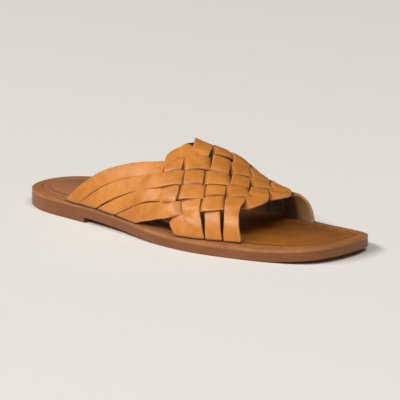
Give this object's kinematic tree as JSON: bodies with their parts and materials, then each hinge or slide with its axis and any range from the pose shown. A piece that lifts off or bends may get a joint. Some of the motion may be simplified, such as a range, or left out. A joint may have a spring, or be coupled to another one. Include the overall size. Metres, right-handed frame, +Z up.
{
  "type": "slide sandal",
  "caption": "Flat right-foot slide sandal with flat leather straps plaited across the instep, a welted squared leather sole and a low heel lift.",
  "frame": {"origin": "on the floor, under the middle of the sole's bounding box", "axes": "+X from the heel to the toe, +Y to the inner (medial) side of the right foot, +Z up"},
  "size_m": [0.262, 0.0948, 0.0588],
  "materials": {
    "sole_leather": "burnished leather edge, satin",
    "welt_leather": "polished leather, satin",
    "insole_leather": "smooth leather, satin",
    "strap_leather": "smooth vegetable-tanned leather, semi-gloss"
  },
  "bodies": {
    "root": {"outsole": "sole_leather", "heel_lift": "sole_leather", "midsole": "sole_leather", "welt": "welt_leather", "insole": "insole_leather", "upper": "strap_leather"}
  },
  "joints": []
}
